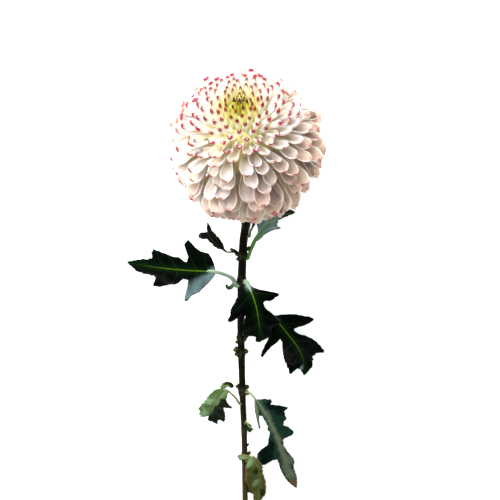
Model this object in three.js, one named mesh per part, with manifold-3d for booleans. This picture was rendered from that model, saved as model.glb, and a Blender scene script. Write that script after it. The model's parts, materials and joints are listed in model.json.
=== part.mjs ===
// A cut disbud chrysanthemum lying on a table: one ball bloom on a bare stem with nine lobed leaves.
// Millimetres. The table is z = 0, the bloom lies toward +Y, the cut end toward -Y, the left leaf toward -X.
import * as THREE from "three";
import { mergeVertices } from "three/addons/utils/BufferGeometryUtils.js";
import Module from "manifold-3d";

const wasm = await Module();
wasm.setup();

// Bloom: a ball whose face is turned up toward the viewer
const BLOOM_CENTRE = new THREE.Vector3(12, 155, 48);
const BLOOM_AXIS = new THREE.Vector3(-0.075, 0.906, 0.423).normalize();
const BALL_RADIUS = 50;
const FACE_SINK = 5.5;
const FACE_WIDTH = 32;
const FIRST_FLORET = 18;
const LAST_FLORET = 149;
const FLORET_PACKING = 0.9;
const GOLDEN_ANGLE = THREE.MathUtils.degToRad(137.508);
const CLOSEST_FLORETS = 7.9;
const WIDEST_FLORETS = 15.6;
const SPACING_CURVE = 0.75;
// Florets open from narrow to broad within this many degrees
const OPENING = 80;
const OPENING_CURVE = 0.8;
const NARROW_FLORET = 3.2;
const BROAD_FLORET = 9.6;
const SHALLOW_TROUGH = 1.1;
const DEEP_TROUGH = 1.9;
const BLADE_HALF = 0.65;
// Width of a floret at its root, as a share of its full width, and where along it is widest
const QUILL_NECK = 0.8;
const SPOON_NECK = 0.42;
const FLORET_BELLY = 0.55;
const FLORET_SHOULDER = 0.88;
// How far the roots of the lowest florets turn back toward the stem, in degrees
const ROOT_TURN = 20;
const ROOT_TURN_SPAN = 45;
const ROOT_DEPTH = 3.5;
const ROOT_HANDLE = 7;
const TIP_HANDLE = 9;
// How far a floret leans back from the straight line out of the centre, in degrees, for where its tip lies
const FLORET_LEAN = [[0, 0], [30, 4.5], [92.5, 37], [143, 37], [180, 0]];
// Where a floret's root lies, in degrees from the middle of the face, for where its tip lies
const ROOT_PLACES = [[25, 25], [115, 85], [128, 106], [149, 134]];

// Florets lower than this are pressed onto the table, and those above it bend less up to the second height
const PRESS_FLAT = 1.5;
const PRESS_TOP = 6;
const PRESS_SINK = -0.4;
const PRESS_CURVE = 1.4;
const FLORET_UNDERSIDE = 1;

// Receptacle that the florets stand on, with the socket for the heart of the bloom
const CORE_RADIUS = 34;
const CORE_FLOOR = -18;
const CORE_UNDERSIDE = [[16, CORE_FLOOR], [27.5, -12], [32.5, -5]];
const SOCKET_RADIUS = 7.4;
const SOCKET_FLOOR = 24;
const HEART_RADIUS = 7.1;
const HEART_TOP = 34;
const HEART_FLORETS = 20;
const HEART_LIMIT = 11.5;
const HEART_REACH = 43.2;
const HEART_DIP = 1.2;
const HEART_WIDTH = 1.7;
const HEART_TROUGH = 0.35;
const HEART_HANDLE = 3;
const HEART_ROOT_SHARE = 0.72;
const HEART_ROOT_DEPTH = 2.5;

// Involucre: the green cup behind the bloom. Its wall and its bracts are [reach, drop below the rim].
const CUP_RADIUS = 13;
const CUP_DEPTH = 9;
const CUP_FOOT = 4.2;
const CUP_WALL = [[9, 6], [12, 2.2]];
const BRACTS = 9;
const BRACT_WIDTH = 5;
const BRACT_TROUGH = 0.2;
const BRACT_ROOT = [5.6, 6.6];
const BRACT_ROOT_HANDLE = [8.4, 6.4];
const BRACT_TIP_HANDLE = [11.6, 4.6];
const BRACT_TIP = [14.4, 2.4];

// Stem: points on its centre line from the cup down to the cut end
const STEM_LINE = [
  [12.5, 92.7, 29],
  [10.7, 76.6, 24.5],
  [10, 62.3, 21],
  [9.2, 37.7, 17],
  [8.7, 14.7, 14.5],
  [8.6, -10.4, 12.5],
  [9.5, -60.5, 9.5],
  [10.6, -97.3, 8],
  [10.9, -125.4, 6.8],
  [11.2, -169, 4.8],
  [11.4, -199, 2.6],
];
const STEM_RADIUS = 2.45;
const STEM_NODES = [92, 63, 38, -9, -24, -60, -98, -124];
const NODE_SWELLING = 0.6;
const NODE_LENGTH = 2.6;
const CUT_SLANT = 0.7;

// Stubs of the pinched side buds and lost leaves: place along the stem, angle round it and length
const STUBS = [
  [68, 165, 4.4],
  [-7, 172, 3.8],
  [-22, 8, 3.4],
  [-25, 176, 2.6],
  [-88, 20, 5],
  [-122, 170, 4.4],
  [22, 95, 2.6],
  [-46, 250, 2.6],
];

const STUB_FOOT = 1.3;
const STUB_TIP = 0.55;
const STUB_LEAN = 0.5;

const GAP = 0.3;
const WELD_GRID = 0.002;
const LEAF_THICKNESS = 0.8;
const LEAF_ARCH = 0.12;
const LEAF_SETTLE = 2.4;
const TABLE_CLEARANCE = 0.1;
const STALK_FOOT = 1.25;
const STALK_END = 0.88;
const CLOSEST_STATIONS = 0.028;
const BROAD_LEAF = 20;

// Leaves. foot: place on the stem. stalk: where the leaf stalk bends. rib: a cubic curve from the blade's
// base to its tip. sweep: the angle between rib and side veins, at the base and at the tip. roll: how far
// each half hangs. left and right: [place along the rib, length of the side vein there].
const LEAVES = [
  {
    name: "leaf_left",
    foot: 38,
    stalk: [1.8, 45.8, 22],
    rib: [[-8.4, 52.4, 26], [-32.2, 53.8, 25.9], [-50.8, 44.6, 8.3], [-72.5, 47.2, 1.2]],
    up: [0, 0, 1],
    sweep: [75, 30],
    roll: -12,
    left: [[0, 1.6], [0.015, 6], [0.05, 13.5], [0.105, 21], [0.16, 26], [0.205, 31.5], [0.228, 24],
      [0.242, 10.5], [0.3, 9.2], [0.365, 16], [0.435, 19.2], [0.515, 23.5], [0.56, 25], [0.59, 13.5],
      [0.62, 11], [0.71, 12], [0.785, 11], [0.895, 5.5], [1, 0.5]],
    right: [[0, 2], [0.01, 9.8], [0.03, 13.4], [0.085, 15.3], [0.12, 19.2], [0.15, 23.2], [0.188, 20.5],
      [0.21, 10.5], [0.265, 7], [0.325, 11], [0.36, 11], [0.405, 13], [0.475, 16], [0.515, 16.8], [0.555, 15],
      [0.585, 11], [0.62, 9], [0.795, 6], [1, 0.5]],
  },
  {
    name: "leaf_front",
    foot: 42,
    stalk: [12.4, 43.5, 23],
    rib: [[13.1, 43.6, 26], [22.4, 31.4, 38.9], [20.6, 9.9, 28.3], [23.8, -4.8, 24]],
    up: [0, 0, 1],
    sweep: [70, 30],
    roll: -5,
    left: [[0, 1], [0.055, 2.4], [0.09, 4.8], [0.108, 11], [0.132, 19.2], [0.17, 15.5], [0.205, 12.5],
      [0.225, 8], [0.27, 6.2], [0.33, 7.6], [0.38, 13], [0.48, 18], [0.6, 12], [0.77, 11], [0.88, 6], [1, 0.5]],
    right: [[0, 2], [0.012, 9], [0.03, 15], [0.065, 21.5], [0.12, 22.4], [0.17, 26.5], [0.215, 25],
      [0.245, 21], [0.275, 13], [0.34, 8], [0.44, 10.2], [0.56, 14.5], [0.66, 18], [0.7, 14], [0.74, 10],
      [0.81, 6.8], [0.885, 7.2], [1, 0.5]],
  },
  {
    name: "leaf_right",
    foot: -9,
    stalk: [20, 2, 15.5],
    rib: [[32.4, 11.2, 17], [45.7, -8.2, 21.7], [57.4, -26.9, 3.3], [56.1, -50.8, 1.2]],
    up: [0, 0, 1],
    sweep: [70, 30],
    roll: -8,
    left: [[0, 3], [0.02, 11], [0.06, 18.5], [0.13, 24], [0.17, 17], [0.2, 7.4], [0.25, 6.4], [0.35, 12.8],
      [0.49, 18.6], [0.57, 21.4], [0.6, 12.6], [0.65, 10.4], [0.76, 9.8], [0.88, 5.4], [1, 0.5]],
    right: [[0, 2], [0.06, 7.5], [0.12, 17], [0.18, 32], [0.2, 20], [0.23, 8], [0.27, 8.6], [0.36, 13.5],
      [0.57, 20.4], [0.76, 19.8], [0.79, 9.2], [0.86, 5.4], [1, 0.5]],
  },
  {
    name: "leaf_upper_right",
    foot: 61,
    stalk: [15.4, 67.5, 23.2],
    rib: [[18.2, 76, 25.6], [23, 88, 30], [33, 100, 32], [45.3, 99.3, 27]],
    up: [0, 0, -1],
    sweep: [60, 35],
    roll: 5,
    left: [[0, 2.4], [0.07, 3.5], [0.19, 5], [0.295, 8.2], [0.335, 11.2], [0.375, 8], [0.445, 6], [0.615, 3],
      [0.74, 3.5], [0.88, 3], [1, 0.5]],
    right: [[0, 1.4], [0.05, 1.6], [0.16, 1.6], [0.21, 3.6], [0.245, 8.2], [0.3, 11], [0.4, 8], [0.5, 7],
      [0.7, 5], [0.86, 3], [1, 0.5]],
  },
  {
    name: "leaf_upper_left",
    foot: 63,
    stalk: [4.6, 65.5, 21.5],
    rib: [[-0.9, 67.1, 24], [-8, 75.4, 27.8], [-13.5, 84.1, 34.8], [-12.8, 95.7, 36]],
    up: [0.5, 0.6, 0.6],
    sweep: [60, 30],
    roll: 0,
    left: [[0, 0.8], [0.1, 1], [0.24, 3.4], [0.46, 5.2], [0.58, 7], [0.62, 13.5], [0.655, 16.2], [0.7, 13],
      [0.735, 3.4], [0.83, 2.8], [1, 0.5]],
    right: [[0, 0.8], [0.08, 1.2], [0.13, 3.4], [0.275, 6.2], [0.5, 5.4], [0.72, 4], [0.945, 1], [1, 0.5]],
  },
  {
    name: "bract_top",
    foot: 82,
    stalk: [15.6, 86.5, 29.5],
    rib: [[16.6, 89.1, 31.4], [18.6, 96, 34], [21, 102, 35.5], [22.6, 106.5, 35.5]],
    up: [0.4, -0.4, 0.8],
    sweep: [40, 20],
    roll: 0,
    left: [[0, 1.2], [0.35, 3.4], [0.7, 2.2], [1, 0.5]],
    right: [[0, 1.2], [0.35, 3.2], [0.7, 2], [1, 0.5]],
  },
  {
    name: "leaf_lower_left",
    foot: -70,
    stalk: [3.4, -60.5, 15.5],
    rib: [[-2.7, -52, 19], [-12.6, -65.4, 17.9], [-14.1, -78.9, 5.4], [-14.3, -93.5, 1.6]],
    up: [0, 0, 1],
    sweep: [75, 30],
    roll: -5,
    left: [[0, 3], [0.1, 5], [0.18, 8], [0.27, 16], [0.34, 9], [0.45, 10], [0.58, 14], [0.76, 15.6], [0.82, 8],
      [0.9, 7.9], [1, 0.5]],
    right: [[0, 3], [0.04, 6.4], [0.12, 7.5], [0.37, 9.5], [0.55, 13], [0.72, 13], [0.78, 4], [0.86, 5],
      [1, 0.5]],
  },
  {
    name: "leaf_lower_right",
    foot: -59,
    stalk: [15.4, -58.4, 14.5],
    rib: [[19.7, -61.8, 18], [39.2, -91.9, 20.5], [39.5, -127.4, 4.6], [52.6, -159.9, 1.2]],
    up: [0, 0, 1],
    sweep: [75, 30],
    roll: -12,
    left: [[0, 1.6], [0.02, 7], [0.045, 10], [0.066, 6.8], [0.088, 12], [0.12, 18], [0.152, 14], [0.195, 14],
      [0.235, 10.5], [0.265, 9.5], [0.29, 13], [0.34, 15.5], [0.38, 9], [0.41, 5], [0.485, 3.8], [0.565, 6],
      [0.65, 9.5], [0.725, 7], [0.815, 7], [0.91, 4.5], [1, 0.5]],
    right: [[0, 1.6], [0.03, 4], [0.08, 6.8], [0.115, 6], [0.14, 3.4], [0.245, 3.6], [0.27, 4.8], [0.31, 4.4],
      [0.37, 8.8], [0.412, 11], [0.442, 24], [0.505, 27.8], [0.548, 26], [0.58, 12], [0.62, 8], [0.72, 9],
      [0.81, 8.5], [0.92, 4.5], [1, 0.5]],
  },
  {
    name: "leaf_base",
    foot: -126,
    stalk: [13.6, -121.6, 11.2],
    rib: [[16, -119.5, 13], [27, -131, 16.5], [20.6, -155, 2], [20.9, -174.5, 1.5]],
    up: [0, 0, 1],
    sweep: [75, 30],
    roll: -3,
    left: [[0, 2], [0.08, 3.4], [0.185, 4], [0.335, 3.4], [0.535, 7], [0.75, 9.8], [0.8, 8], [0.875, 5.8],
      [1, 0.5]],
    right: [[0, 2], [0.03, 7], [0.195, 9.8], [0.42, 11], [0.6, 11.2], [0.68, 11], [0.74, 7], [0.81, 4.5],
      [0.935, 4.6], [1, 0.5]],
  },
];

// Colours, roughness and metalness of the source model
const PETAL_CREAM = { color: 0xeadfc4, roughness: 0.6, metalness: 0 };
const HEART_YELLOW = { color: 0xd8cf5a, roughness: 0.6, metalness: 0 };
const CUP_GREEN = { color: 0x5a6b38, roughness: 0.7, metalness: 0 };
const STEM_BROWN = { color: 0x24200f, roughness: 0.6, metalness: 0 };
const LEAF_GREEN = { color: 0x14241a, roughness: 0.5, metalness: 0 };
const LEAF_GREY = { color: 0x6c7f7a, roughness: 0.7, metalness: 0 };
const LEAF_PALE = { color: 0x64784c, roughness: 0.7, metalness: 0 };
const LEAF_LOOKS = {
  leaf_upper_right: LEAF_GREY,
  leaf_lower_left: LEAF_PALE,
  leaf_base: LEAF_PALE,
};

const { degToRad, radToDeg, lerp, clamp } = THREE.MathUtils;

// Bloom directions: across is level, crown completes the right-handed set with the axis
const BLOOM_ACROSS = new THREE.Vector3(0, 0, 1).cross(BLOOM_AXIS).normalize();
const BLOOM_CROWN = BLOOM_AXIS.clone().cross(BLOOM_ACROSS);

// Makes corners that lie together one corner and drops the triangles that this closes up
function welded(geometry, distance) {
  const bare = geometry.clone();
  bare.deleteAttribute("normal");
  bare.deleteAttribute("uv");
  const merged = mergeVertices(bare, distance);
  const corners = Array.from(merged.index.array);
  const kept = [];
  for (let i = 0; i < corners.length; i += 3) {
    const [a, b, c] = corners.slice(i, i + 3);
    if (a !== b && b !== c && a !== c) kept.push(a, b, c);
  }
  merged.setIndex(kept);
  return merged;
}

// A closed three.js geometry as a solid that can be joined and cut
function solidFrom(geometry) {
  const merged = welded(geometry, 1e-4);
  return new wasm.Manifold(new wasm.Mesh({
    numProp: 3,
    vertProperties: new Float32Array(merged.attributes.position.array),
    triVerts: new Uint32Array(merged.index.array),
  }));
}

// Joins pieces into one body and fills the closed pockets that crossing pieces leave between them
function joined(pieces) {
  const bodies = wasm.Manifold.union(pieces).trimByPlane([0, 0, 1], 0).decompose();
  return bodies.reduce((largest, body) => (body.volume() > largest.volume() ? body : largest));
}

// A joined solid as a named mesh
function meshFrom(solid, name, look) {
  const { vertProperties, triVerts } = solid.getMesh();
  const onGrid = Float32Array.from(vertProperties, (value) => Math.round(value / WELD_GRID) * WELD_GRID);
  const bare = new THREE.BufferGeometry();
  bare.setAttribute("position", new THREE.BufferAttribute(onGrid, 3));
  bare.setIndex(Array.from(triVerts));
  const geometry = welded(bare, 1e-3);
  geometry.computeVertexNormals();
  const mesh = new THREE.Mesh(geometry, new THREE.MeshStandardMaterial(look));
  mesh.name = name;
  return mesh;
}

// What would hang below the table bends up and lies on it
function settle(height, floor, blend) {
  const top = floor + blend;
  return height > top ? height : floor + blend * Math.exp((height - top) / blend);
}

// Florets under the bloom are pressed flat by its weight
function pressedFlat(height) {
  const share = clamp((height - PRESS_FLAT) / (PRESS_TOP - PRESS_FLAT), 0, 1);
  return height > PRESS_TOP ? height : lerp(PRESS_SINK, PRESS_TOP, share ** PRESS_CURVE);
}

// Value of a [place, value] list, straight between its entries
function valueAt(list, place) {
  let k = 1;
  while (k < list.length - 1 && list[k][0] < place) k += 1;
  const [x0, y0] = list[k - 1];
  const [x1, y1] = list[k];
  return lerp(y0, y1, clamp((place - x0) / (x1 - x0), 0, 1));
}

// Direction away from the bloom's axis at a turn round it
function bloomDirection(turn) {
  return BLOOM_ACROSS.clone().multiplyScalar(Math.cos(turn)).addScaledVector(BLOOM_CROWN, Math.sin(turn));
}

// A point of the bloom from its distance from the axis, height along the axis and turn round it
function bloomPoint(reach, height, turn) {
  return BLOOM_CENTRE.clone()
    .addScaledVector(BLOOM_AXIS, height)
    .addScaledVector(bloomDirection(turn), reach);
}

// Places a geometry made about the Y axis onto the bloom's axis
function onBloomAxis(geometry) {
  const basis = new THREE.Matrix4().makeBasis(BLOOM_CROWN, BLOOM_AXIS, BLOOM_ACROSS);
  basis.setPosition(BLOOM_CENTRE);
  return geometry.applyMatrix4(basis);
}

// A tube round a curve, with a radius that changes along it
function tube(curve, radiusAt, sides, steps, slant = 0) {
  const geometry = new THREE.CylinderGeometry(1, 1, 1, sides, steps);
  const place = geometry.attributes.position;
  for (let i = 0; i < place.count; i += 1) {
    const along = 0.5 - place.getY(i);
    const tangent = curve.getTangentAt(along).negate();
    const side = tangent.clone().cross(new THREE.Vector3(0, 0, 1)).normalize();
    const out = side.clone().cross(tangent);
    const radius = radiusAt(along);
    const point = curve.getPointAt(along)
      .addScaledVector(side, place.getX(i) * radius)
      .addScaledVector(out, place.getZ(i) * radius);
    if (along > 0.9999) point.addScaledVector(tangent, place.getZ(i) * radius * slant);
    place.setXYZ(i, point.x, point.y, point.z);
  }
  return solidFrom(geometry);
}

// Distance of floret tips from the bloom's centre: the ball is a little sunk at its face
function ballRadius(theta) {
  return BALL_RADIUS - FACE_SINK * Math.exp(-((theta / FACE_WIDTH) ** 2));
}

// Distance between neighbouring florets
function floretSpacing(theta) {
  const share = clamp((theta - FIRST_FLORET) / (LAST_FLORET - FIRST_FLORET), 0, 1);
  return lerp(CLOSEST_FLORETS, WIDEST_FLORETS, share ** SPACING_CURVE);
}

// A floret blade: a trough in section, from a root in the receptacle to a blunt tip
function floret(tip, root, width, depth, turn, stations) {
  const rows = stations.length - 1;
  const geometry = new THREE.CylinderGeometry(0, 1, 1, 4, rows);
  const line = new THREE.CubicBezierCurve(root.point, root.handle, tip.handle, tip.point);
  const place = geometry.attributes.position;
  for (let i = 0; i < place.count; i += 1) {
    const station = stations[Math.round((0.5 + place.getY(i)) * rows)];
    const centre = line.getPoint(station.along);
    const heading = line.getTangent(station.along);
    const spread = Math.hypot(place.getX(i), place.getZ(i)) < 1e-6 ? 0 : 1;
    const around = Math.atan2(place.getX(i), place.getZ(i));
    const across = Math.sin(around) * spread * width * station.width / 2;
    const rim = Math.abs(Math.sin(around)) * depth * station.width;
    const lift = spread * (Math.cos(around) * BLADE_HALF + rim);
    const point = bloomPoint(centre.x - heading.y * lift, centre.y + heading.x * lift, turn);
    point.addScaledVector(bloomDirection(turn - Math.PI / 2), across);
    const underside = bloomPoint(centre.x, centre.y, turn).z - FLORET_UNDERSIDE;
    point.z += pressedFlat(underside) - underside;
    place.setXYZ(i, point.x, point.y, point.z);
  }
  return solidFrom(geometry);
}

function polar(degrees, reach) {
  const angle = degToRad(degrees);
  return new THREE.Vector2(reach * Math.sin(angle), reach * Math.cos(angle));
}

// Distance from the bloom's centre to the receptacle's surface, which falls in on the underside
function coreReach(theta) {
  const bends = CORE_UNDERSIDE.map(([x, y]) => [radToDeg(Math.atan2(x, y)), Math.hypot(x, y)]).reverse();
  return valueAt([[92, CORE_RADIUS], ...bends], theta);
}

// One ray floret whose tip lies theta degrees from the middle of the face
function rayFloret(theta, turn) {
  const opened = clamp((theta - FIRST_FLORET) / OPENING, 0, 1);
  const rootTheta = valueAt(ROOT_PLACES, theta);
  const tipPoint = polar(theta, ballRadius(theta));
  const rootPoint = polar(rootTheta, coreReach(rootTheta) - ROOT_DEPTH);
  const lean = valueAt(FLORET_LEAN, theta);
  const tip = { point: tipPoint, handle: tipPoint.clone().sub(polar(theta + lean, TIP_HANDLE)) };
  const outward = rootTheta - ROOT_TURN * clamp((rootTheta - 90) / ROOT_TURN_SPAN, 0, 1);
  const root = { point: rootPoint, handle: rootPoint.clone().add(polar(outward, ROOT_HANDLE)) };
  const width = lerp(NARROW_FLORET, BROAD_FLORET, opened ** OPENING_CURVE);
  const depth = lerp(SHALLOW_TROUGH, DEEP_TROUGH, opened);
  const stations = [
    { along: 0, width: lerp(QUILL_NECK, SPOON_NECK, opened) },
    { along: FLORET_BELLY, width: 0.9 },
    { along: FLORET_SHOULDER, width: 0.95 },
    { along: 1, width: 0 },
  ];
  return floret(tip, root, width, depth, turn, stations);
}

function rayFlorets() {
  const profile = [[0, CORE_FLOOR], ...CORE_UNDERSIDE];
  for (let degrees = 88; degrees >= 0; degrees -= 11) {
    const point = polar(degrees, CORE_RADIUS);
    profile.push([point.x, point.y]);
  }
  const core = new THREE.LatheGeometry(profile.map(([x, y]) => new THREE.Vector2(x, y)), 28);
  const socket = new THREE.CylinderGeometry(SOCKET_RADIUS, SOCKET_RADIUS, 30, 20);
  socket.translate(0, SOCKET_FLOOR + 15, 0);
  const pieces = [solidFrom(onBloomAxis(core)).subtract(solidFrom(onBloomAxis(socket)))];
  let level = Math.cos(degToRad(FIRST_FLORET));
  for (let i = 0; level > Math.cos(degToRad(LAST_FLORET)); i += 1) {
    const theta = radToDeg(Math.acos(level));
    pieces.push(rayFloret(theta, i * GOLDEN_ANGLE));
    level -= FLORET_PACKING * floretSpacing(theta) ** 2 / (2 * Math.PI * BALL_RADIUS ** 2);
  }
  return joined(pieces);
}

// The heart: short narrow florets on a plug that sits in the receptacle's socket
function centreFlorets() {
  const plugHeight = HEART_TOP - SOCKET_FLOOR - GAP;
  const plug = new THREE.CylinderGeometry(HEART_RADIUS, HEART_RADIUS, plugHeight, 20);
  plug.translate(0, HEART_TOP - plugHeight / 2, 0);
  const pieces = [solidFrom(onBloomAxis(plug))];
  for (let i = 0; i < HEART_FLORETS; i += 1) {
    const theta = HEART_LIMIT * Math.sqrt((i + 0.5) / HEART_FLORETS);
    const tipPoint = polar(theta, HEART_REACH - HEART_DIP * (1 - theta / HEART_LIMIT));
    const rootPoint = new THREE.Vector2(tipPoint.x * HEART_ROOT_SHARE, HEART_TOP - HEART_ROOT_DEPTH);
    const tip = { point: tipPoint, handle: tipPoint.clone().sub(polar(-theta * 2, HEART_HANDLE)) };
    const root = { point: rootPoint, handle: rootPoint.clone().add(polar(theta * 2, HEART_HANDLE)) };
    const stations = [{ along: 0, width: 1 }, { along: 0.6, width: 1 }, { along: 1, width: 0 }];
    pieces.push(floret(tip, root, HEART_WIDTH, HEART_TROUGH, i * GOLDEN_ANGLE, stations));
  }
  return joined(pieces);
}

// The green cup with its ring of pressed bracts
function involucre() {
  const top = CORE_FLOOR - GAP;
  const belowRim = ([reach, drop]) => new THREE.Vector2(reach, top - drop);
  const profile = [[0, CUP_DEPTH], [CUP_FOOT, CUP_DEPTH], ...CUP_WALL, [CUP_RADIUS, 0], [0, 0]];
  const cup = new THREE.LatheGeometry(profile.map(belowRim), 20);
  const pieces = [solidFrom(onBloomAxis(cup))];
  const stations = [{ along: 0, width: 0.8 }, { along: 0.5, width: 1 }, { along: 1, width: 0 }];
  for (let i = 0; i < BRACTS; i += 1) {
    const tip = { point: belowRim(BRACT_TIP), handle: belowRim(BRACT_TIP_HANDLE) };
    const root = { point: belowRim(BRACT_ROOT), handle: belowRim(BRACT_ROOT_HANDLE) };
    pieces.push(floret(tip, root, BRACT_WIDTH, BRACT_TROUGH, i * 2 * Math.PI / BRACTS, stations));
  }
  return joined(pieces);
}

// Centre line of the stem, from the cup to the cut end
const cupFloor = CORE_FLOOR - CUP_DEPTH - 2 * GAP;
const stemCurve = new THREE.CatmullRomCurve3([
  bloomPoint(0, cupFloor, 0),
  bloomPoint(0, cupFloor - 12, 0),
  ...STEM_LINE.map((point) => new THREE.Vector3(...point)),
], false, "catmullrom", 0.5);
stemCurve.arcLengthDivisions = 800;

// Where along the stem a height on the Y axis lies
function stemPlace(y) {
  let low = 0;
  let high = 1;
  while (high - low > 1e-5) {
    const middle = (low + high) / 2;
    if (stemCurve.getPointAt(middle).y > y) low = middle;
    else high = middle;
  }
  return (low + high) / 2;
}

function stemRadius(along) {
  const { y } = stemCurve.getPointAt(along);
  const swelling = STEM_NODES.map((node) => NODE_SWELLING * Math.exp(-(((y - node) / NODE_LENGTH) ** 2)));
  return STEM_RADIUS + swelling.reduce((sum, part) => sum + part, 0);
}

function stem() {
  const pieces = [tube(stemCurve, stemRadius, 8, 36, CUT_SLANT)];
  for (const [y, angle, length] of STUBS) {
    const along = stemPlace(y);
    const tangent = stemCurve.getTangentAt(along);
    const side = tangent.clone().cross(new THREE.Vector3(0, 0, 1)).normalize().negate();
    const out = tangent.clone().cross(side);
    const heading = side.multiplyScalar(Math.cos(degToRad(angle)))
      .addScaledVector(out, Math.sin(degToRad(angle)))
      .addScaledVector(tangent, -STUB_LEAN)
      .normalize();
    const stub = new THREE.CylinderGeometry(STUB_TIP, STUB_FOOT, length + STEM_RADIUS, 5);
    stub.translate(0, (length + STEM_RADIUS) / 2, 0);
    stub.applyQuaternion(new THREE.Quaternion().setFromUnitVectors(new THREE.Vector3(0, 1, 0), heading));
    const foot = stemCurve.getPointAt(along);
    pieces.push(solidFrom(stub.translate(foot.x, foot.y, foot.z)));
  }
  return joined(pieces);
}

// Places along a leaf's rib: every bend of either margin, but none crowded together
function leafStations(leaf) {
  const places = [...leaf.left, ...leaf.right].map(([place]) => place).sort((a, b) => a - b);
  const kept = [0];
  for (const place of places) {
    if (place - kept.at(-1) > CLOSEST_STATIONS) kept.push(place);
  }
  kept[kept.length - 1] = 1;
  return kept;
}

// A leaf blade: a closed sheet with the same triangles on both faces
function leafBlade(leaf, rib) {
  const up = new THREE.Vector3(...leaf.up);
  const broadest = Math.max(...[...leaf.left, ...leaf.right].map(([, vein]) => vein));
  const cells = broadest > BROAD_LEAF ? 4 : 2;
  const stations = leafStations(leaf);
  const faces = [[], []];
  for (const along of stations) {
    const heading = rib.getTangent(along);
    const left = up.clone().cross(heading).normalize();
    const normal = heading.clone().cross(left);
    const sweep = degToRad(lerp(leaf.sweep[0], leaf.sweep[1], along));
    const roll = degToRad(leaf.roll);
    for (let k = 0; k <= cells; k += 1) {
      const across = k / (cells / 2) - 1;
      const half = across < 0 ? 1 : -1;
      const vein = Math.abs(across) * valueAt(across < 0 ? leaf.left : leaf.right, along);
      const sideways = left.clone().multiplyScalar(half * Math.cos(roll)).addScaledVector(normal, Math.sin(roll));
      const point = rib.getPoint(along)
        .addScaledVector(heading, vein * Math.cos(sweep))
        .addScaledVector(sideways, vein * Math.sin(sweep))
        .addScaledVector(normal, LEAF_ARCH * vein * (1 - Math.abs(across)));
      point.z = settle(point.z, LEAF_THICKNESS / 2 + TABLE_CLEARANCE, LEAF_SETTLE);
      faces[0].push(point.clone().addScaledVector(normal, LEAF_THICKNESS / 2));
      faces[1].push(point.clone().addScaledVector(normal, -LEAF_THICKNESS / 2));
    }
  }
  const row = cells + 1;
  const under = stations.length * row;
  const corners = [];
  for (let j = 0; j < stations.length - 1; j += 1) {
    for (let k = 0; k < cells; k += 1) {
      const a = j * row + k;
      const d = a + row;
      corners.push(a, a + 1, d + 1, a, d + 1, d);
      corners.push(under + a, under + d + 1, under + a + 1, under + a, under + d, under + d + 1);
    }
  }
  const edge = [];
  for (let k = 0; k < cells; k += 1) edge.push(k);
  for (let j = 0; j < stations.length - 1; j += 1) edge.push(j * row + cells);
  for (let k = cells; k > 0; k -= 1) edge.push((stations.length - 1) * row + k);
  for (let j = stations.length - 1; j > 0; j -= 1) edge.push(j * row);
  edge.forEach((a, k) => {
    const b = edge[(k + 1) % edge.length];
    corners.push(a, under + a, under + b, a, under + b, b);
  });
  const geometry = new THREE.BufferGeometry().setFromPoints([...faces[0], ...faces[1]]);
  geometry.setIndex(corners);
  return solidFrom(geometry);
}

// A leaf with its stalk, which ends just clear of the stem
function leafSolid(leaf) {
  const rib = new THREE.CubicBezierCurve3(...leaf.rib.map((point) => new THREE.Vector3(...point)));
  const along = stemPlace(leaf.foot);
  const axis = stemCurve.getPointAt(along);
  const bend = new THREE.Vector3(...leaf.stalk);
  const away = bend.clone().sub(axis);
  away.addScaledVector(stemCurve.getTangentAt(along), -away.dot(stemCurve.getTangentAt(along))).normalize();
  const foot = axis.clone().addScaledVector(away, stemRadius(along) + GAP);
  const line = new THREE.CatmullRomCurve3([foot, foot.clone().addScaledVector(away, 1), bend,
    rib.getPoint(0), rib.getPoint(0.07)]);
  const radiusAt = (place) => lerp(STALK_FOOT, STALK_END, place);
  return joined([tube(line, radiusAt, 5, 7), leafBlade(leaf, rib)]);
}

const chrysanthemum = new THREE.Group();
chrysanthemum.name = "disbud_chrysanthemum";
chrysanthemum.add(meshFrom(rayFlorets(), "ray_florets", PETAL_CREAM));
chrysanthemum.add(meshFrom(centreFlorets(), "centre_florets", HEART_YELLOW));
chrysanthemum.add(meshFrom(involucre(), "involucre", CUP_GREEN));
chrysanthemum.add(meshFrom(stem(), "stem", STEM_BROWN));
for (const leaf of LEAVES) {
  chrysanthemum.add(meshFrom(leafSolid(leaf), leaf.name, LEAF_LOOKS[leaf.name] ?? LEAF_GREEN));
}

export default chrysanthemum;
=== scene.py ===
import json
import math
import random

import bmesh
import bpy
from mathutils import Matrix, Vector, noise

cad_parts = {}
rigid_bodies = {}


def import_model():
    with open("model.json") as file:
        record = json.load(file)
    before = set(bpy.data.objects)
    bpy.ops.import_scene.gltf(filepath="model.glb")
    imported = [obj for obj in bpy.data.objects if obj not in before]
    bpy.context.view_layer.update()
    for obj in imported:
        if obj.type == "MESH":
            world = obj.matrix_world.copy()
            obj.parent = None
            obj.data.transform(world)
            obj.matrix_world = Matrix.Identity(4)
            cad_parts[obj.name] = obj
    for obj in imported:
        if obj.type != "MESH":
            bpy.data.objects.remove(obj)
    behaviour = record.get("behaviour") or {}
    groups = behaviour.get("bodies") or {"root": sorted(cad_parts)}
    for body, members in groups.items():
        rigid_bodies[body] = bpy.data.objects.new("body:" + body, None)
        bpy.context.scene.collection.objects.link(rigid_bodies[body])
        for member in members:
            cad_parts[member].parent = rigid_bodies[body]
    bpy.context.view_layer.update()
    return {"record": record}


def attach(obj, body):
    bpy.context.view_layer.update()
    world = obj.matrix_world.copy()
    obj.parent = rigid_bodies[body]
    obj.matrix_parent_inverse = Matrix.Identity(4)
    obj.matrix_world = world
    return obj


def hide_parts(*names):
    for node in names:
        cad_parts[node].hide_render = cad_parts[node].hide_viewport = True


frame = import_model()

MM = 0.001
UP = Vector((0, 0, 1))

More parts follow.
